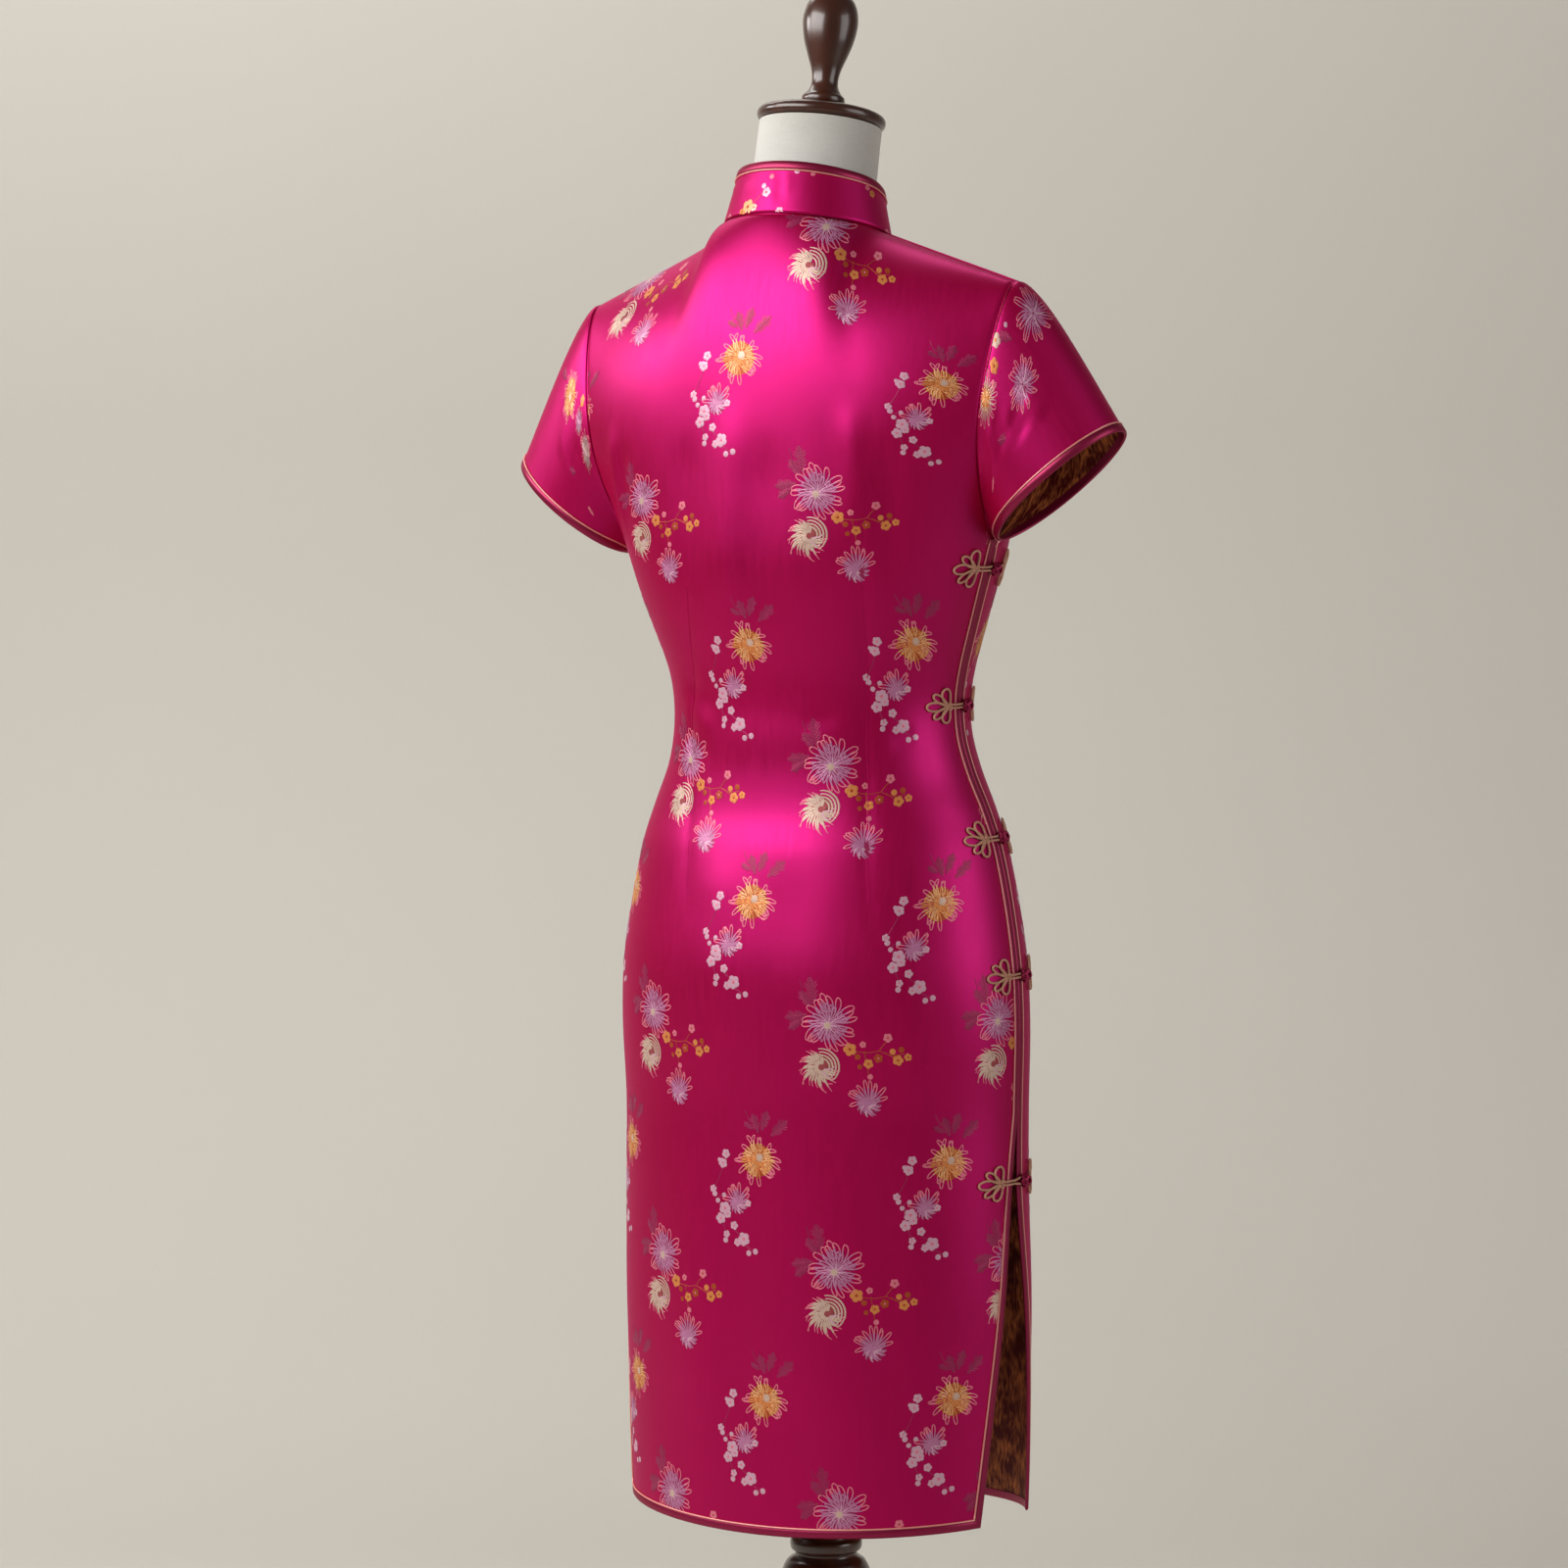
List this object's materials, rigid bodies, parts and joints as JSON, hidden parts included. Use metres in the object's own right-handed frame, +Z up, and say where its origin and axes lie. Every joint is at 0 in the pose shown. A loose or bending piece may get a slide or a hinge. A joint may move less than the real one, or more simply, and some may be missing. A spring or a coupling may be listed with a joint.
{
  "type": "cheongsam dress on a limbless dress form",
  "caption": "Calf-length short-sleeved cheongsam with stand collar, slanted lapel, cord frogs and side slits, worn by a limbless dress form on a turned stand.",
  "frame": {"origin": "on the floor under the middle of the stand's base", "axes": "+Z up, -Y the way the wearer faces, +X to the wearer's left"},
  "size_m": [0.5491, 0.378, 1.6019],
  "materials": {
    "satin": "magenta silk satin brocade",
    "satin_dark": "deep magenta satin bias binding",
    "gold_cord": "gold satin cord",
    "form_cloth": "cream cotton cover",
    "dark_wood": "dark stained and polished"
  },
  "bodies": {
    "root": {"back_panel": "satin", "front_panel": "satin", "underlap": "satin", "sleeve_left": "satin", "sleeve_right": "satin", "collar": "satin", "side_frog_knot_1": "satin", "side_frog_knot_2": "satin", "side_frog_knot_3": "satin", "side_frog_knot_4": "satin", "side_frog_knot_5": "satin", "lapel_frog_knot_1": "satin", "lapel_frog_knot_2": "satin", "collar_frog_knot": "satin", "back_binding": "satin_dark", "front_binding": "satin_dark", "lapel_binding": "satin_dark", "sleeve_binding_left": "satin_dark", "sleeve_binding_right": "satin_dark", "collar_binding": "satin_dark", "side_frog_loop_1": "gold_cord", "side_frog_base_1": "gold_cord", "side_frog_loop_2": "gold_cord", "side_frog_base_2": "gold_cord", "side_frog_loop_3": "gold_cord", "side_frog_base_3": "gold_cord", "side_frog_loop_4": "gold_cord", "side_frog_base_4": "gold_cord", "side_frog_loop_5": "gold_cord", "side_frog_base_5": "gold_cord", "lapel_frog_loop_1": "gold_cord", "lapel_frog_base_1": "gold_cord", "lapel_frog_loop_2": "gold_cord", "lapel_frog_base_2": "gold_cord", "collar_frog_loop": "gold_cord", "collar_frog_base": "gold_cord", "dress_form": "form_cloth", "neck_cap": "dark_wood", "finial": "dark_wood", "stand_post": "dark_wood", "stand_base": "dark_wood"}
  },
  "joints": []
}
